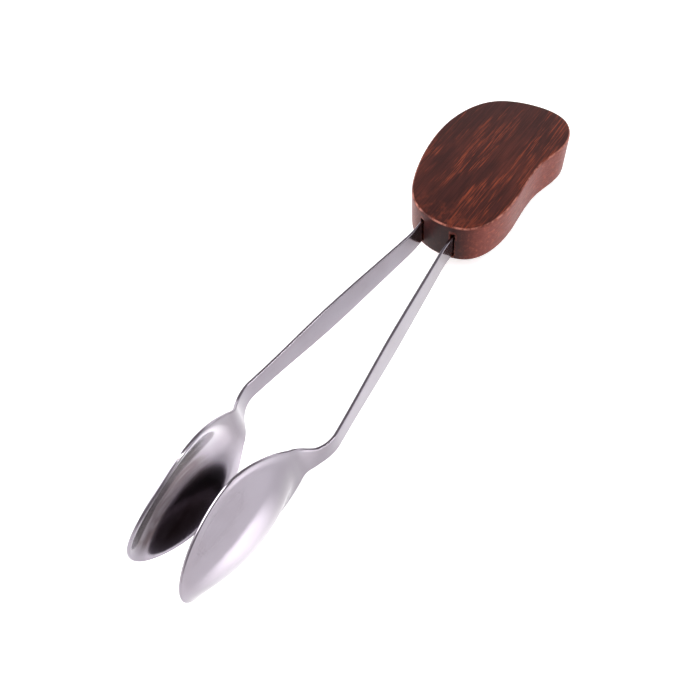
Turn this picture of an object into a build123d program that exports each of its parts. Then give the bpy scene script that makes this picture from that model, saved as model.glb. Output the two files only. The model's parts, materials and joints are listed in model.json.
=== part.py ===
# Ice tongs: two stainless steel spoon arms set in the end of a kidney-shaped hardwood handle block.
#
# Everything is drawn in the tongs' own frame first. Its origin is on the block's mid-plane, half-way
# between the two slot mouths. +X runs to the block's far end, the arms reach out along -X, and the
# left arm is on the +Y side. At the end the tongs are laid down as they rest on a table, on the lower
# rims of the bowls and the lower far edge of the block, with the origin under the middle of the box.
import os
from math import asin, atan2, cos, degrees, exp, pi, radians, sin, sqrt, tan

from build123d import *

# Handle block: corner points of its closed spline outline, and its slots
block_thickness = 13.7
block_edge_round = 0.6
block_outline = [
    (70.6, 0.6),
    (66.0, 14.6),
    (52.0, 22.0),
    (35.0, 22.5),
    (17.0, 18.4),
    (4.0, 11.0),
    (-1.0, -0.9),
    (1.2, -11.2),
    (12.5, -16.7),
    (29.0, -16.6),
    (41.5, -16.9),
    (54.5, -19.3),
    (66.3, -14.6),
]
slot_width = 1.5
slot_depth = 20.0
slot_top = 3.8
slot_bottom = -5.6
slot_overshoot = 8.0
resin_recess = 2.4

# Arm blank: reach is measured from the slot mouth along -X, height from the block's mid-plane
sheet_thickness = 1.0
blank_height = -1.25
tang_half_spacing = 6.0
tang_length = 18.0
strip_stations = [-tang_length, 0.0, 42.0, 76.0, 92.0]
strip_widths = [7.0, 8.2, 9.7, 6.5, 6.0]

# Bends of the arm seen from above: reach where each starts, its radius, and the lean it leaves,
# in degrees away from the tongs' centre. The tangs close towards the arms, the strips open out,
# the cranked neck turns in, and the rim of the bowl runs nearly straight.
tang_lean = -2.0
arm_bends = [
    (0.5, 50.0, 7.0),
    (77.1, 10.9, -44.2),
    (86.3, 5.7, -2.9),
]

# Bowl: an egg-shaped rim, round at the tip and more pointed at the neck
bowl_centre = 107.0
bowl_half_length = 23.0
bowl_half_width = 16.9
bowl_taper = 0.22
neck_point = 1.8
neck_power = 0.92
neck_flare = 8.0
rim_bow = 2.4
tip_turn = 0.12

# Dish pressed into the bowl, a smaller egg that leaves a flat rim, widest at the neck
dish_centre = 110.7
dish_half_length = 19.0
dish_half_width = 14.7
dish_depth = 7.2
dish_softness = 0.25

# Flexure: a clamped leaf spring seems to turn at this part of its free length
flexure_ratio = 0.15
flexure_gap = 0.12

# Rows and columns of the sheet's grids, and the step its slopes are taken over
tang_rows = 12
strip_rows = 10
neck_rows = 34
tip_rows = 18
sheet_columns = 16
slope_step = 0.05
fit_tolerance = 0.002
rest_samples = 180

tip_reach = bowl_centre + bowl_half_length
flexure_reach = flexure_ratio * bowl_centre


def centre_line(reach):
    """Offset of the blank's middle from the tongs' centre, before the bowl is dished."""
    lean = radians(tang_lean)
    start = -tang_length
    offset = tang_half_spacing + start * tan(lean)
    for bend_start, radius, next_lean in arm_bends:
        next_lean = radians(next_lean)
        bend_length = radius * abs(sin(next_lean) - sin(lean))
        turn = 1 if next_lean > lean else -1
        if reach < bend_start:
            return offset + (reach - start) * tan(lean)
        offset += (bend_start - start) * tan(lean)
        if reach < bend_start + bend_length:
            lean_here = asin(sin(lean) + turn * (reach - bend_start) / radius)
            return offset + turn * radius * (cos(lean) - cos(lean_here))
        offset += turn * radius * (cos(lean) - cos(next_lean))
        start = bend_start + bend_length
        lean = next_lean
    along = (reach - start) / (tip_reach - start)
    return offset + (reach - start) * tan(lean) - rim_bow * 4 * along * (1 - along)


def egg_half_width(along):
    """Half-width of the bowl's rim at -1 (neck end) to +1 (tip)."""
    scale = bowl_half_width * exp(-bowl_taper * along)
    if along > 0:
        return scale * sqrt(1 - along**2)
    return scale * (1 - abs(along) ** neck_point) ** neck_power


def dish(reach, height):
    """How far the bowl is pressed outwards, easing to nothing past the dish's own edge."""
    along = (reach - dish_centre) / dish_half_length
    half_width = dish_half_width * exp(-bowl_taper * along)
    inside = 1 - along**2 - (height / half_width) ** 2
    return dish_depth * (inside + sqrt(inside**2 + dish_softness**2)) / 2


def strip_half_width(reach):
    """Half-width of the strip, eased between its stations."""
    for first in range(len(strip_stations) - 1):
        last = first + 1
        if reach <= strip_stations[last]:
            break
    part = (reach - strip_stations[first]) / (strip_stations[last] - strip_stations[first])
    part = min(max(part, 0.0), 1.0)
    eased = part * part * (3 - 2 * part)
    return (strip_widths[first] + (strip_widths[last] - strip_widths[first]) * eased) / 2


def blank_half_width(reach):
    """Half-width of the flat blank: strip and egg with a flare between them."""
    along = (reach - bowl_centre) / bowl_half_length
    if along > 0:
        return egg_half_width(along)
    strip = strip_half_width(reach)
    egg = (along + 1) * bowl_half_length if along < -1 else egg_half_width(along)
    nearness = max(neck_flare - abs(strip - egg), 0) / neck_flare
    return max(strip, egg) + neck_flare * nearness**2 / 4


def steps(first, last, count):
    return [first + (last - first) * index / count for index in range(count + 1)]


def tang_edge():
    """Reach and half-width down the buried tang and on to the flexure."""
    reaches = steps(-tang_length, flexure_reach - flexure_gap / 2, tang_rows)
    return [(reach, blank_half_width(reach)) for reach in reaches]


def arm_edge():
    """Reach and half-width from the flexure to the tip, in finer steps over the neck and bowl."""
    neck_start = arm_bends[1][0]
    reaches = steps(flexure_reach + flexure_gap / 2, neck_start, strip_rows)[:-1]
    reaches += steps(neck_start, bowl_centre, neck_rows)[:-1]
    reaches += [bowl_centre + bowl_half_length * cos(turn) for turn in steps(pi / 2, tip_turn, tip_rows)]
    return [(reach, blank_half_width(reach)) for reach in reaches]


def sheet_offset(reach, height):
    return centre_line(reach) + dish(reach, height)


def sheet_slopes(reach, height):
    """The middle surface's slopes along the reach and up the height."""
    along = sheet_offset(reach + slope_step, height) - sheet_offset(reach - slope_step, height)
    up = sheet_offset(reach, height + slope_step) - sheet_offset(reach, height - slope_step)
    return along / (2 * slope_step), up / (2 * slope_step)


def sheet_face(edge, from_middle):
    """One face of the pressed sheet, at a distance from its middle surface."""
    rows = []
    for reach, half_width in edge:
        row = []
        for height in steps(-half_width, half_width, sheet_columns):
            along_slope, up_slope = sheet_slopes(reach, height)
            normal = Vector(along_slope, 1, -up_slope).normalized()
            middle = Vector(-reach, sheet_offset(reach, height), height + blank_height)
            row.append(middle + normal * from_middle)
        rows.append(row)
    return Face.make_surface_from_array_of_points(rows, tol=fit_tolerance)


def pressed_sheet(edge):
    """The left arm's sheet over part of its length, closed by walls between its two faces."""
    inner = sheet_face(edge, -sheet_thickness / 2)
    outer = sheet_face(edge, sheet_thickness / 2)
    walls = []
    for inner_edge, outer_edge in zip(inner.edges(), outer.edges()):
        walls.append(Face.make_surface_from_curves(inner_edge, outer_edge))
    return Solid(Shell([inner, outer] + walls))


def slot_space(start, end):
    """The left slot's space between two depths inside its mouth."""
    height = slot_top - slot_bottom
    space = Box(end - start, slot_width, height, align=(Align.MIN, Align.CENTER, Align.MIN))
    mouth = Location((0, tang_half_spacing, slot_bottom), (0, 0, -tang_lean))
    return mouth * Location((start, 0, 0)) * space


def handle_block():
    outline = Spline(*block_outline, periodic=True)
    body = extrude(make_face(outline), amount=block_thickness / 2, both=True)
    rims = body.edges().filter_by(GeomType.LINE, reverse=True)
    body = fillet(rims, block_edge_round)
    slot = slot_space(-slot_overshoot, slot_depth)
    return body - slot - mirror(slot, about=Plane.XZ)


def rest_tilt():
    """The mid-plane's tilt when laid on a table, in radians, and the bowls' reach where they touch."""
    heel_x = max(x for x, y in block_outline) - block_edge_round
    best = (0.0, 0.0)
    for reach in steps(bowl_centre - bowl_half_length, tip_reach, rest_samples):
        rim_drop = blank_half_width(reach) - blank_height - block_thickness / 2
        best = max(best, (atan2(rim_drop, heel_x + reach), reach))
    return best


def tongs_pieces():
    """Every piece by node name, in the tongs' own frame."""
    left_tang = pressed_sheet(tang_edge())
    left_arm = pressed_sheet(arm_edge())
    left_resin = slot_space(resin_recess, slot_depth) - left_tang
    pieces = {"handle_block": handle_block()}
    for name, piece in [("slot_resin", left_resin), ("tang", left_tang), ("arm", left_arm)]:
        pieces["left_" + name] = piece
        pieces["right_" + name] = mirror(piece, about=Plane.XZ)
    return pieces


def lay_down(pieces):
    """Tilt the tongs about Y onto the table and centre their box over the origin."""
    tilted = {}
    for name, piece in pieces.items():
        tilted[name] = Location((0, 0, 0), (0, degrees(rest_tilt()[0]), 0)) * piece
    box = Compound(list(tilted.values())).bounding_box()
    shift = Location((-box.center().X, -box.center().Y, -box.min.Z))
    laid = {}
    for name, piece in tilted.items():
        laid[name] = shift * piece
    return laid


os.makedirs("parts", exist_ok=True)
for node, shape in lay_down(tongs_pieces()).items():
    export_step(shape, f"parts/{node}.step")
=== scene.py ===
import json
from math import asin, atan2, cos, exp, pi, radians, sin, sqrt, tan

import bpy
import numpy as np
from mathutils import Matrix, Vector


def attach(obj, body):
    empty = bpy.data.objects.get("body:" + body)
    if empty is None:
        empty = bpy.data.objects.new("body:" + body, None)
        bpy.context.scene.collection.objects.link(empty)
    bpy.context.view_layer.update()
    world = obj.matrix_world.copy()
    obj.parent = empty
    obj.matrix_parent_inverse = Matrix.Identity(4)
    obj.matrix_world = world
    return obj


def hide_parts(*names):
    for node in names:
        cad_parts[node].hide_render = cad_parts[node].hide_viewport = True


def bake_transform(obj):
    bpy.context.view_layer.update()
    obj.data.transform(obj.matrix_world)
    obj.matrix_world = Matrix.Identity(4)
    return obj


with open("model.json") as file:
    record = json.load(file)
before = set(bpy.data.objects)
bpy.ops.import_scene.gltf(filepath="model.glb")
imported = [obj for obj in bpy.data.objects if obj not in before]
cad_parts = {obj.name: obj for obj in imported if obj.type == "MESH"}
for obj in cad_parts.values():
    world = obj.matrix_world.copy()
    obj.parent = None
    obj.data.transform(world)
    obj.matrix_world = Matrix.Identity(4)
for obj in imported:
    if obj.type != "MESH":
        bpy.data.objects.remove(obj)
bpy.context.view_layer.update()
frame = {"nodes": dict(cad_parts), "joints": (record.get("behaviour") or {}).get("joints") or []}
print("frame loaded")

mm = 0.001
sides = {"left": 1, "right": -1}

# Where the sheets stand in the block, in mm and degrees. +X runs to the block's far end, the arms reach
# along -X and the left arm is on the +Y side.
seats = {
    "hingeReach": 16.05,
    "height": -1.25,
    "spacing": 6.0,
    "lean": -2.0,
}

def tongsToFrame():
    # The tongs lie tilted on the table, so their own axes come from the two hinges.
    hinges = {joint["name"]: joint for joint in frame["joints"]}
    left = hinges["left_arm_flex"]
    right = hinges["right_arm_flex"]
    upward = Vector(left["axis"]).normalized()
    across = Vector((0, 1, 0))
    forward = across.cross(upward)
    turned = Matrix((forward, across, upward)).transposed().to_4x4()
    middle = (Vector(left["pos_m"]) + Vector(right["pos_m"])) / 2
    local = Vector((-seats["hingeReach"], 0, seats["height"])) * mm
    origin = middle - turned @ local
    return Matrix.Translation(origin) @ turned


placing = tongsToFrame()
placingInMm = placing @ Matrix.Scale(mm, 4)
tilt = atan2(placing[0][2], placing[2][2])


def newPiece(name, points, faces, attributes):
    mesh = bpy.data.meshes.new(name)
    mesh.from_pydata([tuple(point) for point in points], [], faces)
    for attributeName, values in attributes.items():
        attribute = mesh.attributes.new(attributeName, "FLOAT", "POINT")
        attribute.data.foreach_set("value", np.array(values, dtype=np.float32))
    piece = bpy.data.objects.new(name, mesh)
    bpy.context.scene.collection.objects.link(piece)
    return piece


def ringFaces(rings, count):
    # Four-cornered faces between closed rings of points that follow one another.
    faces = []
    for ring in range(rings - 1):
        for step in range(count):
            after = (step + 1) % count
            low, high = ring * count, (ring + 1) * count
            faces.append((low + step, low + after, high + after, high + step))
    return faces


def bakeModifiers(piece):
    graph = bpy.context.evaluated_depsgraph_get()
    finished = bpy.data.meshes.new_from_object(piece.evaluated_get(graph))
    piece.modifiers.clear()
    piece.data = finished
    return piece


def smoothByAngle(piece, angle):
    piece.data.shade_smooth()
    piece.data.set_sharp_from_angle(angle=radians(angle))


def connect(tree, socket, value):
    if isinstance(value, bpy.types.NodeSocket):
        tree.links.new(value, socket)
    else:
        socket.default_value = value


def mathNode(tree, operation, *values):
    node = tree.nodes.new("ShaderNodeMath")
    node.operation = operation
    for socket, value in zip(node.inputs, values):
        connect(tree, socket, value)
    return node.outputs[0]


def attributeNode(tree, name):
    node = tree.nodes.new("ShaderNodeAttribute")
    node.attribute_name = name
    return node.outputs["Fac"]


def mapRange(tree, value, low, high, newLow=0.0, newHigh=1.0):
    node = tree.nodes.new("ShaderNodeMapRange")
    node.interpolation_type = "SMOOTHSTEP"
    for name, setting in [
        ("Value", value),
        ("From Min", low),
        ("From Max", high),
        ("To Min", newLow),
        ("To Max", newHigh),
    ]:
        connect(tree, node.inputs[name], setting)
    return node.outputs[0]


def mixColours(tree, factor, first, second, blend="MIX"):
    node = tree.nodes.new("ShaderNodeMix")
    node.data_type = "RGBA"
    node.blend_type = blend
    connect(tree, node.inputs[0], factor)
    connect(tree, node.inputs[6], first)
    connect(tree, node.inputs[7], second)
    return node.outputs[2]


def objectCoordinates(tree):
    # Object coordinates turned to lie along the tongs' own axes.
    coordinates = tree.nodes.new("ShaderNodeTexCoord")
    turn = tree.nodes.new("ShaderNodeMapping")
    turn.vector_type = "TEXTURE"
    turn.inputs["Rotation"].default_value = (0, tilt, 0)
    tree.links.new(coordinates.outputs["Object"], turn.inputs["Vector"])
    return turn.outputs[0]


def noise(tree, vector, stretch, detail=3.0, roughness=0.55, distortion=0.0, shift=(0, 0, 0)):
    # Noise with its own number of cells per metre along each axis.
    mapping = tree.nodes.new("ShaderNodeMapping")
    mapping.inputs["Scale"].default_value = stretch
    mapping.inputs["Location"].default_value = shift
    tree.links.new(vector, mapping.inputs["Vector"])
    texture = tree.nodes.new("ShaderNodeTexNoise")
    texture.inputs["Scale"].default_value = 1.0
    texture.inputs["Detail"].default_value = detail
    texture.inputs["Roughness"].default_value = roughness
    texture.inputs["Distortion"].default_value = distortion
    tree.links.new(mapping.outputs[0], texture.inputs["Vector"])
    return texture.outputs["Fac"]


def bump(tree, height, distance, strength=1.0, previous=None):
    node = tree.nodes.new("ShaderNodeBump")
    node.inputs["Strength"].default_value = strength
    node.inputs["Distance"].default_value = distance
    tree.links.new(height, node.inputs["Height"])
    if previous:
        tree.links.new(previous, node.inputs["Normal"])
    return node.outputs[0]


def newMaterial(name):
    material = bpy.data.materials.new(name)
    material.use_nodes = True
    tree = material.node_tree
    return material, tree, tree.nodes["Principled BSDF"]


camera = {
    "place": (-0.09196, -0.07223, 0.16083),
    "aim": (-0.02324, -0.003805, 0.015),
    "roll": -12.62,
    "lens": 31.5,
    "sensor": 36.0,
    "nearest": 0.005,
    "farthest": 20.0,
}


def makeCamera():
    data = bpy.data.cameras.new("camera")
    data.lens = camera["lens"]
    data.sensor_width = camera["sensor"]
    data.clip_start = camera["nearest"]
    data.clip_end = camera["farthest"]
    viewer = bpy.data.objects.new("camera", data)
    bpy.context.scene.collection.objects.link(viewer)
    place = Vector(camera["place"])
    gaze = Vector(camera["aim"]) - place
    level = gaze.to_track_quat("-Z", "Y").to_matrix()
    viewer.rotation_euler = (level @ Matrix.Rotation(radians(camera["roll"]), 3, "Z")).to_euler()
    viewer.location = place
    bpy.context.scene.camera = viewer


makeCamera()
print("camera placed")


# The floor, and the sky that the steel mirrors.
studio = {
    "floorSize": 6.0,
    "floorColour": (0.92, 0.92, 0.92, 1.0),
    "floorGlow": 0.56,
    "floorRoughness": 0.9,
    "floorSheen": 0.1,
    "overhead": (0.36, 0.34, 0.36, 1.0),
    "horizon": (1.6, 1.58, 1.6, 1.0),
    "horizonStart": 0.1,
    "horizonEnd": 0.5,
    "boxFront": 0.2,  # a softbox fades out where the sky turns this far away from it
    "spotRadius": 0.01,
}
softboxes = {
    # name: (direction, half-width, half-height, edge softness, brightness)
    "backWindow": ((-0.25, 0.8, 0.55), 0.3, 0.24, 0.08, 7.0),
    "frontWindow": ((0.2, -0.85, 0.5), 0.45, 0.2, 0.1, 4.0),
    "smallLamp": ((0.25, -0.5, 0.83), 0.12, 0.05, 0.03, 16.0),
}
lamps = {
    # name: (place, aim, width, height, watts)
    "keyLamp": ((-0.35, 0.75, 0.75), (0.0, 0.0, 0.0), 0.7, 0.5, 3.0),
}
tableSpots = {
    # name: (place, aim, cone in degrees, softness, watts)
    "frontSpot": ((-0.12, -0.45, 0.5), (-0.084, -0.046, 0.0), 4.6, 0.7, 55.0),
    "gapSpot": ((-0.069, 0.0, 0.6), (-0.069, 0.004, 0.0), 1.0, 0.6, 120.0),
}


def makeFloor():
    half = studio["floorSize"] / 2
    corners = [(-half, -half, 0), (half, -half, 0), (half, half, 0), (-half, half, 0)]
    floor = newPiece("studioFloor", corners, [(0, 1, 2, 3)], {})
    material, _, shader = newMaterial("paleFloor")
    shader.inputs["Base Color"].default_value = studio["floorColour"]
    shader.inputs["Roughness"].default_value = studio["floorRoughness"]
    shader.inputs["Specular IOR Level"].default_value = studio["floorSheen"]
    shader.inputs["Emission Color"].default_value = (1.0, 1.0, 1.0, 1.0)
    shader.inputs["Emission Strength"].default_value = studio["floorGlow"]
    floor.data.materials.append(material)


def makeLamp(name, place, aim, width, height, watts):
    data = bpy.data.lights.new(name, "AREA")
    data.shape = "RECTANGLE"
    data.size = width
    data.size_y = height
    data.energy = watts
    lamp = bpy.data.objects.new(name, data)
    bpy.context.scene.collection.objects.link(lamp)
    lamp.location = place
    gaze = Vector(aim) - Vector(place)
    lamp.rotation_euler = gaze.to_track_quat("-Z", "Y").to_euler()


def makeTableSpot(name, place, aim, cone, softness, watts):
    # A pool of light on the table, for the polished backs and bowls to mirror.
    data = bpy.data.lights.new(name, "SPOT")
    data.energy = watts
    data.spot_size = radians(cone)
    data.spot_blend = softness
    data.shadow_soft_size = studio["spotRadius"]
    spot = bpy.data.objects.new(name, data)
    bpy.context.scene.collection.objects.link(spot)
    spot.location = place
    gaze = Vector(aim) - Vector(place)
    spot.rotation_euler = gaze.to_track_quat("-Z", "Y").to_euler()


def alongAxis(tree, direction, axis):
    node = tree.nodes.new("ShaderNodeVectorMath")
    node.operation = "DOT_PRODUCT"
    tree.links.new(direction, node.inputs[0])
    node.inputs[1].default_value = axis
    return node.outputs["Value"]


def softbox(tree, direction, toward, halfWidth, halfHeight, softness):
    # A soft-edged rectangle of sky, 1 inside it and 0 outside.
    centre = Vector(toward).normalized()
    right = centre.cross(Vector((0, 0, 1))).normalized()
    up = right.cross(centre)
    inside = mapRange(tree, alongAxis(tree, direction, centre), 0.0, studio["boxFront"])
    for axis, half in [(right, halfWidth), (up, halfHeight)]:
        distance = mathNode(tree, "ABSOLUTE", alongAxis(tree, direction, axis))
        edge = mapRange(tree, distance, half - softness, half + softness, 1.0, 0.0)
        inside = mathNode(tree, "MULTIPLY", inside, edge)
    return inside


def makeSky():
    world = bpy.data.worlds.new("studio")
    bpy.context.scene.world = world
    world.use_nodes = True
    tree = world.node_tree
    direction = tree.nodes.new("ShaderNodeTexCoord").outputs["Generated"]
    height = alongAxis(tree, direction, (0, 0, 1))
    rise = mapRange(tree, height, studio["horizonStart"], studio["horizonEnd"])
    colour = mixColours(tree, rise, studio["horizon"], studio["overhead"])
    for toward, halfWidth, halfHeight, softness, brightness in softboxes.values():
        inside = softbox(tree, direction, toward, halfWidth, halfHeight, softness)
        glow = (brightness, brightness, brightness, 1.0)
        colour = mixColours(tree, inside, colour, glow)
    tree.links.new(colour, tree.nodes["Background"].inputs["Color"])


makeFloor()
for lampName, settings in lamps.items():
    makeLamp(lampName, *settings)
for spotName, settings in tableSpots.items():
    makeTableSpot(spotName, *settings)
makeSky()
bpy.context.scene.view_settings.view_transform = "Standard"
print("studio lit")


# Colours, how the stain and the grain are spread, and the size of each pattern in cells per metre along,
# across and through the grain. A spread gives the pattern's own range, then the range it is turned into.
woodFinish = {
    "dark": (0.038, 0.0086, 0.0066, 1.0),
    "warm": (0.062, 0.0138, 0.0092, 1.0),
    "streak": (0.24, 0.047, 0.02, 1.0),
    "side": (0.155, 0.032, 0.022, 1.0),
    "sideFleck": (0.25, 0.056, 0.033, 1.0),
    "endStainAndShade": (0.125, 0.105, 0.15, 1.0),
    "wearAndHighlight": (0.44, 0.16, 0.115, 1.0),
    "specular": 0.17,
    "broadCells": (28, 90, 90),
    "grainCells": (85, 2300, 2300),
    "fineCells": (180, 4200, 4200),
    "clusterCells": (34, 150, 150),
    "streakCells": (85, 2100, 2100),
    "blotchCells": (230, 420, 420),
    "fleckCells": (420, 900, 700),
    "wearAndHighlightCells": (160, 260, 400),
    "warmSpread": (0.35, 0.7),
    "grainSpread": (0.3, 0.72, 0.7, 1.5),
    "streakSpread": (0.5, 0.66),
    "clusterSpread": (0.42, 0.62),
    "rubbedSpread": (0.027, 0.042, 1.0, 0.0),  # metres from the object's middle, towards the far end
    "blotchSpread": (0.45, 0.72, 0.0, 0.75),
    "fleckSpread": (0.5, 0.72),
    "sideSpread": (0.3, 0.7, 0.8, 1.2),
    "wearAndHighlightSpread": (0.42, 0.62),
    "glossSpread": (0.3, 0.7, 0.29, 0.46),
    "grainDepth": 0.00004,
    "grainStrength": 0.5,
    "fineDepth": 0.00001,
    "fineStrength": 0.4,
}


def makeWood():
    wood = woodFinish
    material, tree, shader = newMaterial("stainedHardwood")
    place = objectCoordinates(tree)

    broad = noise(tree, place, wood["broadCells"], detail=2.0, distortion=0.4)
    grain = noise(tree, place, wood["grainCells"], detail=5.0, roughness=0.62, distortion=0.15)
    fine = noise(tree, place, wood["fineCells"], roughness=0.6)
    cluster = noise(tree, place, wood["clusterCells"], distortion=0.5, shift=(3.1, 1.7, 0.4))
    streakLine = noise(
        tree, place, wood["streakCells"], detail=4.0, roughness=0.6, shift=(7.3, 2.2, 5.1)
    )

    body = mixColours(tree, mapRange(tree, broad, *wood["warmSpread"]), wood["dark"], wood["warm"])
    grainShade = mapRange(tree, grain, *wood["grainSpread"])
    shaded = mixColours(tree, 1.0, body, grainShade, "MULTIPLY")
    streakHere = mapRange(tree, streakLine, *wood["streakSpread"])
    clusterHere = mapRange(tree, cluster, *wood["clusterSpread"])
    streaks = mathNode(tree, "MULTIPLY", streakHere, clusterHere)

    # The stain is rubbed thin on the top face near the slots.
    axes = tree.nodes.new("ShaderNodeSeparateXYZ")
    tree.links.new(place, axes.inputs[0])
    nearSlots = mapRange(tree, axes.outputs["X"], *wood["rubbedSpread"])
    blotch = noise(
        tree, place, wood["blotchCells"], detail=4.0, roughness=0.65, shift=(2.0, 5.0, 1.0)
    )
    rubbed = mathNode(tree, "MULTIPLY", nearSlots, mapRange(tree, blotch, *wood["blotchSpread"]))
    streaks = mathNode(tree, "MAXIMUM", streaks, rubbed)
    topColour = mixColours(tree, streaks, shaded, wood["streak"])

    # The sides are redder and flecked, and the end faces round the slots are darkened nearly black:
    # partly end grain taking more stain, partly painted shade.
    fleckNoise = noise(tree, place, wood["fleckCells"], roughness=0.6)
    flecks = mapRange(tree, fleckNoise, *wood["fleckSpread"])
    sideColour = mixColours(tree, flecks, wood["side"], wood["sideFleck"])
    sideShade = mapRange(tree, grain, *wood["sideSpread"])
    sideColour = mixColours(tree, 1.0, sideColour, sideShade, "MULTIPLY")
    endStainedAndShaded = mixColours(tree, 1.0, sideColour, wood["endStainAndShade"], "MULTIPLY")
    sideColour = mixColours(tree, attributeNode(tree, "endGrainAndShade"), sideColour, endStainedAndShaded)
    faces = mixColours(tree, attributeNode(tree, "sideFace"), topColour, sideColour)

    # The rounded rims are lightened to pink in patches: partly worn stain, partly a painted highlight.
    wearAndHighlightNoise = noise(tree, place, wood["wearAndHighlightCells"], roughness=0.65, shift=(1.1, 0, 2.0))
    wearAndHighlightHere = mapRange(tree, wearAndHighlightNoise, *wood["wearAndHighlightSpread"])
    wornAndHighlight = mathNode(tree, "MULTIPLY", attributeNode(tree, "rimWearAndHighlight"), wearAndHighlightHere)
    tree.links.new(mixColours(tree, wornAndHighlight, faces, wood["wearAndHighlight"]), shader.inputs["Base Color"])

    tree.links.new(mapRange(tree, fine, *wood["glossSpread"]), shader.inputs["Roughness"])
    shader.inputs["Specular IOR Level"].default_value = wood["specular"]
    coarse = bump(tree, grain, wood["grainDepth"], wood["grainStrength"])
    surface = bump(tree, fine, wood["fineDepth"], wood["fineStrength"], coarse)
    tree.links.new(surface, shader.inputs["Normal"])
    return material


steelFinish = {
    "colour": (0.298, 0.273, 0.311, 1.0),
    "stain": (0.245, 0.215, 0.24, 1.0),
    "bowlShade": (0.42, 0.36, 0.34, 1.0),  # painted shade: what the darkening inside the bowls leaves of the colour under it
    "mirror": 0.15,
    "rimPolish": 0.6,
    "cloudCells": (60, 60, 60),
    "markCells": (700, 700, 700),
    "scratchCells": (60, 2400, 1500),
    "crossCells": (1900, 140, 260),
    "bowlShadeCells": (40, 420, 420),
    "markSpread": (0.66, 0.74, 0.0, 0.5),
    "markedSpread": (0.48, 0.6),
    "cloudSpread": (0.35, 0.7, 0.0, 0.55),
    "bowlShadeSpread": (0.4, 0.6, 0.6, 1.0),
    "satinSpread": (0.3, 0.7, 0.08, 0.18),
    "pressLines": 8.0,  # radians of ripple for each mm of reach
    "pressWander": 9.0,
    "pressDepth": 0.0000028,
    "scratchDepth": 0.0000035,
    "scratchStrength": 0.5,
    "crossDepth": 0.000002,
    "crossStrength": 0.5,
}


def makeSteel():
    steel = steelFinish
    material, tree, shader = newMaterial("polishedSteel")
    place = objectCoordinates(tree)
    polish = attributeNode(tree, "polish")

    cloud = noise(tree, place, steel["cloudCells"])
    mark = noise(tree, place, steel["markCells"], detail=2.0, shift=(4.0, 1.0, 2.0))
    scratch = noise(tree, place, steel["scratchCells"], roughness=0.65)
    crossScratch = noise(tree, place, steel["crossCells"], detail=2.0, shift=(0.4, 3.0, 1.0))

    # Small marks gather in patches, and only outside the polished dishes.
    markHere = mapRange(tree, mark, *steel["markSpread"])
    marks = mathNode(tree, "MULTIPLY", markHere, mapRange(tree, cloud, *steel["markedSpread"]))
    marks = mathNode(tree, "MULTIPLY", marks, mathNode(tree, "SUBTRACT", 1.0, polish))
    cloudHere = mapRange(tree, cloud, *steel["cloudSpread"])
    clouded = mixColours(tree, cloudHere, steel["colour"], steel["stain"])
    colour = mixColours(tree, marks, clouded, steel["stain"])

    # Painted shade: the deep part inside each bowl is darkened in soft blotches.
    bowlShadeNoise = noise(tree, place, steel["bowlShadeCells"], detail=2.0, shift=(6.0, 2.0, 3.0))
    bowlShadeBlotch = mapRange(tree, bowlShadeNoise, *steel["bowlShadeSpread"])
    bowlShade = mathNode(tree, "MULTIPLY", attributeNode(tree, "bowlShade"), bowlShadeBlotch)
    bowlShaded = mixColours(tree, 1.0, colour, steel["bowlShade"], "MULTIPLY")
    tree.links.new(mixColours(tree, bowlShade, colour, bowlShaded), shader.inputs["Base Color"])
    shader.inputs["Metallic"].default_value = 1.0

    satin = mapRange(tree, scratch, *steel["satinSpread"])
    rimPolish = mathNode(tree, "MULTIPLY", attributeNode(tree, "rim"), steel["rimPolish"])
    blendNode = tree.nodes.new("ShaderNodeMix")
    tree.links.new(mathNode(tree, "MAXIMUM", polish, rimPolish), blendNode.inputs[0])
    tree.links.new(satin, blendNode.inputs[2])
    blendNode.inputs[3].default_value = steel["mirror"]
    tree.links.new(blendNode.outputs[0], shader.inputs["Roughness"])

    # Fine press lines run across the back of each bowl.
    even = mathNode(tree, "MULTIPLY", attributeNode(tree, "reach"), steel["pressLines"])
    wander = mathNode(tree, "MULTIPLY", cloud, steel["pressWander"])
    wave = mathNode(tree, "SINE", mathNode(tree, "ADD", even, wander))
    ripple = mathNode(tree, "MULTIPLY", wave, attributeNode(tree, "pressing"))
    rippled = bump(tree, ripple, steel["pressDepth"])
    brushed = bump(tree, scratch, steel["scratchDepth"], steel["scratchStrength"], rippled)
    rubbed = bump(tree, crossScratch, steel["crossDepth"], steel["crossStrength"], brushed)
    tree.links.new(rubbed, shader.inputs["Normal"])
    return material


resinFinish = {
    "colour": (0.012, 0.009, 0.008, 1.0),
    "haze": (0.035, 0.024, 0.02, 1.0),
    "hazeCells": (900, 900, 900),
    "gritCells": (4200, 4200, 4200),
    "hazeSpread": (0.4, 0.75),
    "glossSpread": (0.3, 0.7, 0.25, 0.5),
    "gritDepth": 0.00004,
    "gritStrength": 0.6,
}


def makeResin():
    resin = resinFinish
    material, tree, shader = newMaterial("darkResin")
    place = objectCoordinates(tree)
    haze = noise(tree, place, resin["hazeCells"], detail=4.0)
    grit = noise(tree, place, resin["gritCells"], detail=2.0)
    hazeHere = mapRange(tree, haze, *resin["hazeSpread"])
    colour = mixColours(tree, hazeHere, resin["colour"], resin["haze"])
    tree.links.new(colour, shader.inputs["Base Color"])
    tree.links.new(mapRange(tree, haze, *resin["glossSpread"]), shader.inputs["Roughness"])
    gritty = bump(tree, grit, resin["gritDepth"], resin["gritStrength"])
    tree.links.new(gritty, shader.inputs["Normal"])
    return material


woodMaterial = makeWood()
steelMaterial = makeSteel()
resinMaterial = makeResin()
print("finishes mixed")


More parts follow.
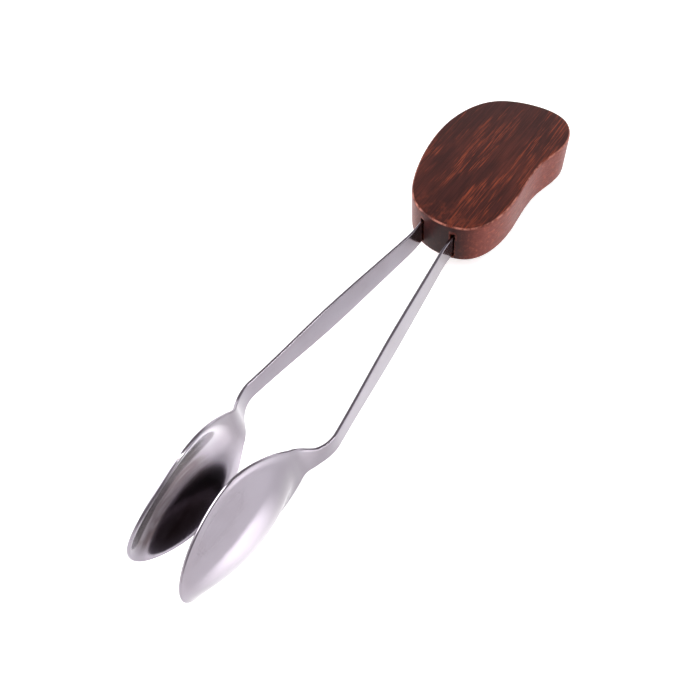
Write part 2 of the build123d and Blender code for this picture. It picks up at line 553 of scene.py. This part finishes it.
# The block's outline and its two slots, in mm.
handleBlock = {
    "thickness": 13.7,
    "edgeRound": 0.6,
    "outline": [
        (70.6, 0.6),
        (66.0, 14.6),
        (52.0, 22.0),
        (35.0, 22.5),
        (17.0, 18.4),
        (4.0, 11.0),
        (-1.0, -0.9),
        (1.2, -11.2),
        (12.5, -16.7),
        (29.0, -16.6),
        (41.5, -16.9),
        (54.5, -19.3),
        (66.3, -14.6),
    ],
    "outlineSteps": 260,
    "roundSteps": 5,
    "sideRows": 10,
    "middle": (35.0, 2.0),
    "shrinks": [0.97, 0.86, 0.66, 0.42, 0.2],  # rings that fill the flat faces
    "endSharpness": 3,  # how soon the darker end grain and painted end-face shade give way to the side colour round the edge
    "slotWidth": 1.5,
    "slotDepth": 20.0,
    "slotTop": 3.8,
    "slotBottom": -5.6,
    "slotReach": 8.0,  # how far the cutter stands out of the mouth
    "chipSize": 0.3,
    "chipStart": 0.28,  # the nibbled edge is full size to here, and gone by chipEnd
    "chipEnd": 0.98,
    "chipRows": 22,
    "chipSeed": 7,
    "creaseAngle": 32,
}


def closedSpline(corners, count):
    # A closed cubic curve through the corners, spaced by the straight distance between them.
    points = np.array(corners, dtype=float)
    total = len(points)
    following = np.roll(points, -1, axis=0)
    spans = np.linalg.norm(following - points, axis=1)
    slopes = (following - points) / spans[:, None]
    system = np.zeros((total, total))
    target = np.zeros((total, 2))
    for row in range(total):
        before = (row - 1) % total
        after = (row + 1) % total
        system[row, before] += spans[before]
        system[row, row] += 2 * (spans[before] + spans[row])
        system[row, after] += spans[row]
        target[row] = 6 * (slopes[row] - slopes[before])
    bends = np.linalg.solve(system, target)
    edges = np.concatenate([[0], np.cumsum(spans)])
    curve = []
    for distance in np.linspace(0, edges[-1], count, endpoint=False):
        part = min(int(np.searchsorted(edges, distance, side="right")) - 1, total - 1)
        span = spans[part]
        toEnd = edges[part + 1] - distance
        fromStart = distance - edges[part]
        start, end = points[part], following[part]
        bendStart, bendEnd = bends[part], bends[(part + 1) % total]
        value = (bendStart * toEnd**3 + bendEnd * fromStart**3) / (6 * span)
        value += (start / span - bendStart * span / 6) * toEnd
        value += (end / span - bendEnd * span / 6) * fromStart
        curve.append(value)
    return np.array(curve)


def blockShell():
    block = handleBlock
    outline = closedSpline(block["outline"], block["outlineSteps"])
    heading = np.roll(outline, -1, axis=0) - np.roll(outline, 1, axis=0)
    heading /= np.linalg.norm(heading, axis=1)[:, None]
    outward = np.column_stack([heading[:, 1], -heading[:, 0]])
    middle = np.array(block["middle"])
    if np.sum(outward * (outline - middle)) < 0:
        outward = -outward
    half = block["thickness"] / 2
    roundness = block["edgeRound"]
    rows = []  # inset, height, shrink towards the middle, wear and painted highlight, side
    for shrink in reversed(block["shrinks"]):
        rows.append((roundness, -half, shrink, 0.0, 0.0))
    for step in range(block["roundSteps"] + 1):
        share = step / block["roundSteps"]
        turn = pi / 2 * share
        inset = roundness * (1 - sin(turn))
        height = -half + roundness * (1 - cos(turn))
        rows.append((inset, height, 1.0, sin(2 * turn), share))
    wallTop = half - roundness
    for step in range(1, block["sideRows"]):
        height = -wallTop + 2 * wallTop * step / block["sideRows"]
        rows.append((0.0, height, 1.0, 0.0, 1.0))
    for step in range(block["roundSteps"] + 1):
        share = 1 - step / block["roundSteps"]
        turn = pi / 2 * share
        inset = roundness * (1 - sin(turn))
        height = half - roundness * (1 - cos(turn))
        rows.append((inset, height, 1.0, sin(2 * turn), share))
    for shrink in block["shrinks"]:
        rows.append((roundness, half, shrink, 0.0, 0.0))

    points = []
    wearAndHighlight = []
    side = []
    endGrainAndShade = []
    for inset, height, shrink, wearAndHighlightHere, sideHere in rows:
        ring = outline - outward * inset
        ring = middle + (ring - middle) * shrink
        points += [(x, y, height) for x, y in ring]
        wearAndHighlight += [wearAndHighlightHere] * len(ring)
        side += [sideHere] * len(ring)
        # Painted shade: end faces are marked for darkening, partly as end grain.
        endGrainAndShade += [sideHere * abs(x) ** block["endSharpness"] for x, y in outward]
    count = len(outline)
    faces = ringFaces(len(rows), count)
    bottomMiddle = len(points)
    topMiddle = bottomMiddle + 1
    points += [(middle[0], middle[1], -half), (middle[0], middle[1], half)]
    wearAndHighlight += [0.0, 0.0]
    side += [0.0, 0.0]
    endGrainAndShade += [0.0, 0.0]
    lastRing = (len(rows) - 1) * count
    for step in range(count):
        after = (step + 1) % count
        faces.append((bottomMiddle, after, step))
        faces.append((topMiddle, lastRing + step, lastRing + after))
    return points, faces, {"rimWearAndHighlight": wearAndHighlight, "sideFace": side, "endGrainAndShade": endGrainAndShade}


def slotCutter(side):
    # A box whose long edges are nibbled where they leave the block, as a saw leaves them.
    block = handleBlock
    random = np.random.default_rng(block["chipSeed"] + side)
    half = block["slotWidth"] / 2
    lean = radians(-seats["lean"]) * side
    rows = block["chipRows"]
    points = []
    for row in range(rows + 1):
        height = block["slotBottom"] + (block["slotTop"] - block["slotBottom"]) * row / rows
        inner, outer = random.uniform(0, 1, 2) ** 2 * block["chipSize"]
        level = [
            (-block["slotReach"], -half - inner),
            (block["chipStart"], -half - inner),
            (block["chipEnd"], -half),
            (block["slotDepth"], -half),
            (block["slotDepth"], half),
            (block["chipEnd"], half),
            (block["chipStart"], half + outer),
            (-block["slotReach"], half + outer),
        ]
        for along, across in level:
            x = along * cos(lean) - across * sin(lean)
            y = along * sin(lean) + across * cos(lean) + seats["spacing"] * side
            points.append((x, y, height))
    ring = len(level)
    faces = ringFaces(rows + 1, ring)
    faces.append(tuple(reversed(range(ring))))
    faces.append(tuple(range(rows * ring, (rows + 1) * ring)))
    return newPiece("slotCutter", points, faces, {})


def makeBlock():
    points, faces, attributes = blockShell()
    block = newPiece("woodenBlock", points, faces, attributes)
    cutters = []
    for side in sides.values():
        cutter = slotCutter(side)
        modifier = block.modifiers.new("slot", "BOOLEAN")
        modifier.operation = "DIFFERENCE"
        modifier.solver = "EXACT"
        modifier.object = cutter
        cutters.append(cutter)
    bakeModifiers(block)
    for cutter in cutters:
        bpy.data.objects.remove(cutter)
    block.data.transform(placingInMm)
    smoothByAngle(block, handleBlock["creaseAngle"])
    block.data.materials.clear()
    block.data.materials.append(woodMaterial)
    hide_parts("handle_block")
    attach(block, "block")


makeBlock()
print("handle block built")


# One arm is one sheet: tang, strip, cranked neck and pressed bowl. Reach is measured from the slot
# mouth, height from the middle of the sheet.
spoonArm = {
    "thickness": 1.0,
    "tangLength": 18.0,
    "bends": [(0.5, 50.0, 7.0), (77.1, 10.9, -44.2), (86.3, 5.7, -2.9)],  # start, radius, new lean
    "stations": [-18.0, 0.0, 42.0, 76.0, 92.0],
    "widths": [7.0, 8.2, 9.7, 6.5, 6.0],
    "bowlCentre": 107.0,
    "bowlHalfLength": 23.0,
    "bowlHalfWidth": 16.9,
    "bowlTaper": 0.22,
    "neckPoint": 1.8,
    "neckPower": 0.92,
    "dishCentre": 110.7,
    "dishHalfLength": 19.0,
    "dishHalfWidth": 14.7,
    "dishDepth": 7.2,
    "dishSoftness": 0.25,
    "neckFlare": 8.0,
    "rimBow": 2.4,
    "rimRound": 0.4,
    "rimSquareness": 0.72,
    "rimSteps": 6,
    "neckMargin": 2.0,  # finer rows begin this far before the neck's first bend
    "neckEnd": 92.0,
    "stripRows": 62,
    "neckRows": 30,
    "bowlRows": 28,
    "tipRows": 44,
    "columns": 32,
    "columnCrowding": 0.35,
    "slopeStep": 0.05,
    "weldDistance": 0.002,
    "creaseAngle": 50,
    "bendLength": 32.1,  # the free part that flexes when the tongs are squeezed
    "polishSpan": 0.25,
    "bowlShadeFrom": 0.1,
    "bowlShadeSpan": 0.25,
    "bowlShadeNeck": 98.0,  # no painted shade before this reach
    "bowlShadeNeckSpan": 5.0,
}


def centreLine(reach):
    # The sheet's offset from the tongs' middle, seen from above, before its bowl is pressed.
    lean = radians(seats["lean"])
    start = -spoonArm["tangLength"]
    offset = seats["spacing"] + start * tan(lean)
    for bendStart, radius, nextLean in spoonArm["bends"]:
        nextLean = radians(nextLean)
        length = radius * abs(sin(nextLean) - sin(lean))
        turn = 1 if nextLean > lean else -1
        if reach < bendStart:
            return offset + (reach - start) * tan(lean)
        offset += (bendStart - start) * tan(lean)
        if reach < bendStart + length:
            leanHere = asin(sin(lean) + turn * (reach - bendStart) / radius)
            return offset + turn * radius * (cos(lean) - cos(leanHere))
        offset += turn * radius * (cos(lean) - cos(nextLean))
        start = bendStart + length
        lean = nextLean
    tip = spoonArm["bowlCentre"] + spoonArm["bowlHalfLength"]
    along = (reach - start) / (tip - start)
    return offset + (reach - start) * tan(lean) - spoonArm["rimBow"] * 4 * along * (1 - along)


def eggHalfWidth(along):
    return spoonArm["bowlHalfWidth"] * exp(-spoonArm["bowlTaper"] * along)


def eggShape(along):
    # Round towards the tip, more pointed towards the neck.
    if along > 0:
        return sqrt(1 - along**2)
    return (1 - abs(along) ** spoonArm["neckPoint"]) ** spoonArm["neckPower"]


def stripHalfWidth(reach):
    stations = spoonArm["stations"]
    widths = spoonArm["widths"]
    part = 0
    while part < len(stations) - 2 and reach > stations[part + 1]:
        part += 1
    share = (reach - stations[part]) / (stations[part + 1] - stations[part])
    share = min(max(share, 0.0), 1.0)
    widening = (widths[part + 1] - widths[part]) * share * share * (3 - 2 * share)
    return (widths[part] + widening) / 2


def blankHalfWidth(reach):
    strip = stripHalfWidth(reach)
    along = (reach - spoonArm["bowlCentre"]) / spoonArm["bowlHalfLength"]
    if along < -1:
        egg = (along + 1) * spoonArm["bowlHalfLength"]
    else:
        egg = eggHalfWidth(along) * eggShape(along)
    flare = spoonArm["neckFlare"]
    nearness = max(flare - abs(strip - egg), 0) / flare
    return max(strip, egg) + flare * nearness**2 / 4


def blankEdge():
    # Reach and half-width of the flat blank's upper edge, from the end of the tang to the tip.
    arm = spoonArm
    neck = arm["bends"][1][0] - arm["neckMargin"]
    neckEnd = arm["neckEnd"]
    reaches = list(np.linspace(-arm["tangLength"], neck, arm["stripRows"], endpoint=False))
    reaches += list(np.linspace(neck, neckEnd, arm["neckRows"], endpoint=False))
    reaches += list(np.linspace(neckEnd, arm["bowlCentre"], arm["bowlRows"], endpoint=False))
    edge = [(reach, blankHalfWidth(reach)) for reach in reaches]
    for turn in np.linspace(pi / 2, 0, arm["tipRows"] + 1):
        reach = arm["bowlCentre"] + arm["bowlHalfLength"] * cos(turn)
        edge.append((reach, eggHalfWidth(cos(turn)) * sin(turn)))
    return edge


def columnPlace(column):
    # Columns stand a little closer together near the rims, from 1 to -1 across the sheet.
    share = column / spoonArm["columns"]
    crowding = spoonArm["columnCrowding"]
    return cos(pi * share) * crowding + (1 - 2 * share) * (1 - crowding)


def flatBlank(side):
    # A closed flat sheet with rounded edges, told by reach, height and depth through the sheet.
    arm = spoonArm
    edge = blankEdge()
    mirrored = [(edge[-2][0], -edge[-2][1])]
    padded = np.array([edge[0]] + edge + mirrored)
    heading = padded[2:] - padded[:-2]
    heading /= np.linalg.norm(heading, axis=1)[:, None]
    half = arm["thickness"] / 2
    rimTurns = np.linspace(pi / 2, -pi / 2, arm["rimSteps"] + 2)[1:-1]
    columns = arm["columns"]
    reaches, heights, throughs, rims = [], [], [], []
    for (reach, halfWidth), (alongStep, acrossStep) in zip(edge, heading):
        outReach, outHeight = -acrossStep, alongStep
        insetReach = reach - outReach * arm["rimRound"]
        insetHeight = halfWidth - outHeight * arm["rimRound"]
        ring = []
        for column in range(columns + 1):
            ring.append((insetReach, insetHeight * columnPlace(column), half, 0.0))
        for upDown in (-1, 1):
            for turn in rimTurns:
                turnHere = -turn * upDown
                depth = 1 - abs(cos(turnHere)) ** arm["rimSquareness"]
                push = np.sign(sin(turnHere)) * abs(sin(turnHere)) ** arm["rimSquareness"]
                rimReach = reach - outReach * arm["rimRound"] * depth
                rimHeight = halfWidth - outHeight * arm["rimRound"] * depth
                ring.append((rimReach, rimHeight * upDown, half * push, 1.0))
            if upDown < 0:
                for column in range(columns, -1, -1):
                    ring.append((insetReach, insetHeight * columnPlace(column), -half, 0.0))
        for reachHere, heightHere, throughHere, rimHere in ring:
            reaches.append(reachHere)
            heights.append(heightHere)
            throughs.append(throughHere)
            rims.append(rimHere)
    count = len(ring)
    faces = ringFaces(len(edge), count)
    faces.append(tuple(reversed(range(count))))
    if side > 0:
        faces = [tuple(reversed(face)) for face in faces]
    lines = [centreLine(reach) for reach in reaches]
    step = arm["slopeStep"]
    slopes = [(centreLine(reach + step) - centreLine(reach - step)) / (2 * step) for reach in reaches]
    points = np.column_stack([-np.array(reaches), throughs, heights])
    attributes = {
        "reach": reaches,
        "height": heights,
        "through": throughs,
        "rim": rims,
        "line": lines,
        "slope": slopes,
    }
    return points, faces, attributes


def pressTree():
    # Presses a bowl into a flat blank and bends it along the arm's line, square to the sheet.
    tree = bpy.data.node_groups.new("pressBowl", "GeometryNodeTree")
    sockets = tree.interface
    sockets.new_socket(name="Geometry", in_out="INPUT", socket_type="NodeSocketGeometry")
    inputs = {}
    for name in [
        "Bowl Centre",
        "Half Length",
        "Half Width",
        "Taper",
        "Depth",
        "Softness",
        "Height",
        "Side",
    ]:
        inputs[name] = sockets.new_socket(name=name, in_out="INPUT", socket_type="NodeSocketFloat")
    inputs["Material"] = sockets.new_socket(
        name="Material", in_out="INPUT", socket_type="NodeSocketMaterial"
    )
    sockets.new_socket(name="Geometry", in_out="OUTPUT", socket_type="NodeSocketGeometry")
    given = tree.nodes.new("NodeGroupInput").outputs

    def field(name):
        node = tree.nodes.new("GeometryNodeInputNamedAttribute")
        node.data_type = "FLOAT"
        node.inputs["Name"].default_value = name
        return node.outputs["Attribute"]

    def calc(operation, *values):
        return mathNode(tree, operation, *values)

    reach, height, through = field("reach"), field("height"), field("through")
    along = calc("DIVIDE", calc("SUBTRACT", reach, given["Bowl Centre"]), given["Half Length"])
    minusTaper = calc("MULTIPLY", given["Taper"], -1.0)
    narrowing = calc("EXPONENT", calc("MULTIPLY", along, minusTaper))
    egg = calc("MULTIPLY", given["Half Width"], narrowing)
    across = calc("DIVIDE", height, egg)
    acrossSquared = calc("MULTIPLY", across, across)
    inside = calc("SUBTRACT", calc("SUBTRACT", 1.0, calc("MULTIPLY", along, along)), acrossSquared)
    softSquared = calc("MULTIPLY", given["Softness"], given["Softness"])
    rounded = calc("SQRT", calc("ADD", calc("MULTIPLY", inside, inside), softSquared))
    halfDepth = calc("MULTIPLY", given["Depth"], 0.5)
    dish = calc("MULTIPLY", halfDepth, calc("ADD", inside, rounded))
    rate = calc("MULTIPLY", halfDepth, calc("ADD", 1.0, calc("DIVIDE", inside, rounded)))
    tapering = calc("ADD", along, calc("MULTIPLY", given["Taper"], acrossSquared))
    insideAlong = calc("DIVIDE", calc("MULTIPLY", tapering, -2.0), given["Half Length"])
    insideAcross = calc("DIVIDE", calc("MULTIPLY", across, -2.0), egg)
    slopeAlong = calc("ADD", field("slope"), calc("MULTIPLY", rate, insideAlong))
    slopeAcross = calc("MULTIPLY", rate, insideAcross)

    normal = tree.nodes.new("ShaderNodeCombineXYZ")
    tree.links.new(slopeAlong, normal.inputs[0])
    normal.inputs[1].default_value = 1.0
    tree.links.new(calc("MULTIPLY", slopeAcross, -1.0), normal.inputs[2])
    unit = tree.nodes.new("ShaderNodeVectorMath")
    unit.operation = "NORMALIZE"
    tree.links.new(normal.outputs[0], unit.inputs[0])
    lift = tree.nodes.new("ShaderNodeVectorMath")
    lift.operation = "SCALE"
    tree.links.new(unit.outputs[0], lift.inputs[0])
    tree.links.new(through, lift.inputs["Scale"])

    middle = tree.nodes.new("ShaderNodeCombineXYZ")
    tree.links.new(calc("MULTIPLY", reach, -1.0), middle.inputs[0])
    tree.links.new(calc("ADD", field("line"), dish), middle.inputs[1])
    tree.links.new(calc("ADD", height, given["Height"]), middle.inputs[2])
    pressed = tree.nodes.new("ShaderNodeVectorMath")
    pressed.operation = "ADD"
    tree.links.new(middle.outputs[0], pressed.inputs[0])
    tree.links.new(lift.outputs[0], pressed.inputs[1])
    sided = tree.nodes.new("ShaderNodeVectorMath")
    sided.operation = "MULTIPLY"
    tree.links.new(pressed.outputs[0], sided.inputs[0])
    mirror = tree.nodes.new("ShaderNodeCombineXYZ")
    mirror.inputs[0].default_value = 1.0
    tree.links.new(given["Side"], mirror.inputs[1])
    mirror.inputs[2].default_value = 1.0
    tree.links.new(mirror.outputs[0], sided.inputs[1])

    place = tree.nodes.new("GeometryNodeSetPosition")
    tree.links.new(given["Geometry"], place.inputs["Geometry"])
    tree.links.new(sided.outputs[0], place.inputs["Position"])
    dished = tree.nodes.new("GeometryNodeStoreNamedAttribute")
    dished.data_type = "FLOAT"
    dished.domain = "POINT"
    dished.inputs["Name"].default_value = "inside"
    tree.links.new(place.outputs[0], dished.inputs["Geometry"])
    tree.links.new(inside, dished.inputs["Value"])
    weld = tree.nodes.new("GeometryNodeMergeByDistance")
    weld.inputs["Distance"].default_value = spoonArm["weldDistance"]
    tree.links.new(dished.outputs[0], weld.inputs["Geometry"])
    realize = tree.nodes.new("GeometryNodeRealizeInstances")
    tree.links.new(weld.outputs[0], realize.inputs[0])
    paint = tree.nodes.new("GeometryNodeSetMaterial")
    tree.links.new(realize.outputs[0], paint.inputs["Geometry"])
    tree.links.new(given["Material"], paint.inputs["Material"])
    result = tree.nodes.new("NodeGroupOutput")
    tree.links.new(paint.outputs[0], result.inputs[0])
    return tree, inputs


def pointValues(mesh, name):
    values = np.zeros(len(mesh.vertices), dtype=np.float32)
    mesh.attributes[name].data.foreach_get("value", values)
    return values


def storeValues(mesh, name, values):
    attribute = mesh.attributes.new(name, "FLOAT", "POINT")
    attribute.data.foreach_set("value", values.astype(np.float32))


def makeArm(name, side, tree, inputs):
    points, faces, attributes = flatBlank(side)
    arm = newPiece(name + "SpoonArm", points, faces, attributes)
    modifier = arm.modifiers.new("press", "NODES")
    modifier.node_group = tree
    settings = {
        "Bowl Centre": spoonArm["dishCentre"],
        "Half Length": spoonArm["dishHalfLength"],
        "Half Width": spoonArm["dishHalfWidth"],
        "Taper": spoonArm["bowlTaper"],
        "Depth": spoonArm["dishDepth"],
        "Softness": spoonArm["dishSoftness"],
        "Height": seats["height"],
        "Side": float(side),
        "Material": steelMaterial,
    }
    for inputName, value in settings.items():
        modifier[inputs[inputName].identifier] = value
    bakeModifiers(arm)
    arm.data.transform(placingInMm)
    smoothByAngle(arm, spoonArm["creaseAngle"])
    inside = pointValues(arm.data, "inside")
    innerFace = pointValues(arm.data, "through") < 0
    dished = np.clip(inside / spoonArm["polishSpan"], 0, 1)
    storeValues(arm.data, "polish", dished * innerFace)
    storeValues(arm.data, "pressing", dished * ~innerFace)
    # Painted shade: the deep inner part of each dish, past the neck, is marked for darkening.
    deep = np.clip((inside - spoonArm["bowlShadeFrom"]) / spoonArm["bowlShadeSpan"], 0, 1)
    reach = pointValues(arm.data, "reach")
    pastNeck = np.clip((reach - spoonArm["bowlShadeNeck"]) / spoonArm["bowlShadeNeckSpan"], 0, 1)
    storeValues(arm.data, "bowlShade", deep * pastNeck * innerFace)
    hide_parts(name + "_tang", name + "_arm")

    def lineAt(reach):
        return placingInMm @ Vector((-reach, centreLine(reach) * side, seats["height"]))

    lineAt(0.0)
    lineAt(spoonArm["bendLength"])
    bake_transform(arm)


pressing, pressInputs = pressTree()
for sideName, sideSign in sides.items():
    makeArm(sideName, sideSign, pressing, pressInputs)
print("spoon arms pressed")

for sideName in sides:
    filling = frame["nodes"][sideName + "_slot_resin"]
    filling.data.materials.clear()
    filling.data.materials.append(resinMaterial)
print("slot fillings set")
